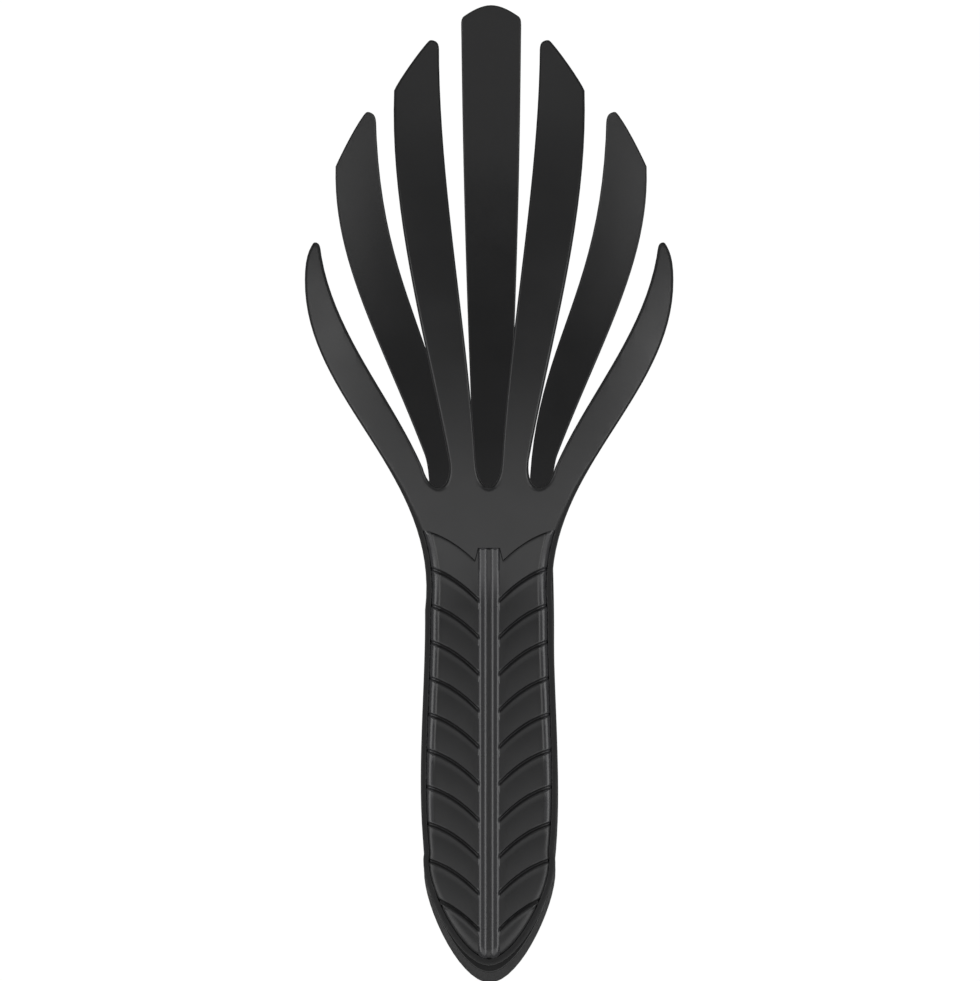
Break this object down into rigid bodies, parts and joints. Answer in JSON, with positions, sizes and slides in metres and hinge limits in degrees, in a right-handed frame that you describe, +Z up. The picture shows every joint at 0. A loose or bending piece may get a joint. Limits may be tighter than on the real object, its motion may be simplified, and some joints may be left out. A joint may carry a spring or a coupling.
{
  "type": "sprung hand tongs with interleaving tined hands",
  "caption": "One-hand sprung tongs with two leaf-shaped tined hands that interleave as they close, for gathering leaves or salad.",
  "frame": {"origin": "the middle of the flat on which the back hand's palm rests", "axes": "+Y from the hinge to the tips, +Z up from the table, X across the hands"},
  "size_m": [0.111, 0.3012, 0.1064],
  "materials": {
    "nylon": "satin black moulded nylon",
    "grip": "satin black moulded panel with leaf veins",
    "steel": "turned stainless steel",
    "caps": "satin black plastic",
    "acetal": "smooth dark acetal",
    "spring_wire": "drawn spring steel wire"
  },
  "bodies": {
    "back_arm": {"back_hand": "nylon", "back_grip": "grip", "hinge_pin": "steel", "pin_caps": "caps", "hinge_washers": "steel", "spring_sleeve": "acetal", "torsion_spring": "spring_wire"},
    "front_arm": {"front_hand": "nylon", "front_grip": "grip"}
  },
  "joints": [
    {"name": "hands_hinge", "type": "hinge", "parent": "back_arm", "child": "front_arm", "pos_m": [0, -0.14367, 0.01837], "axis": [-1, 0, 0], "range_deg": [0, 16], "stiffness_Nm_per_rad": 1.07, "springref_deg": -12.83, "deforming": ["torsion_spring"]}
  ]
}
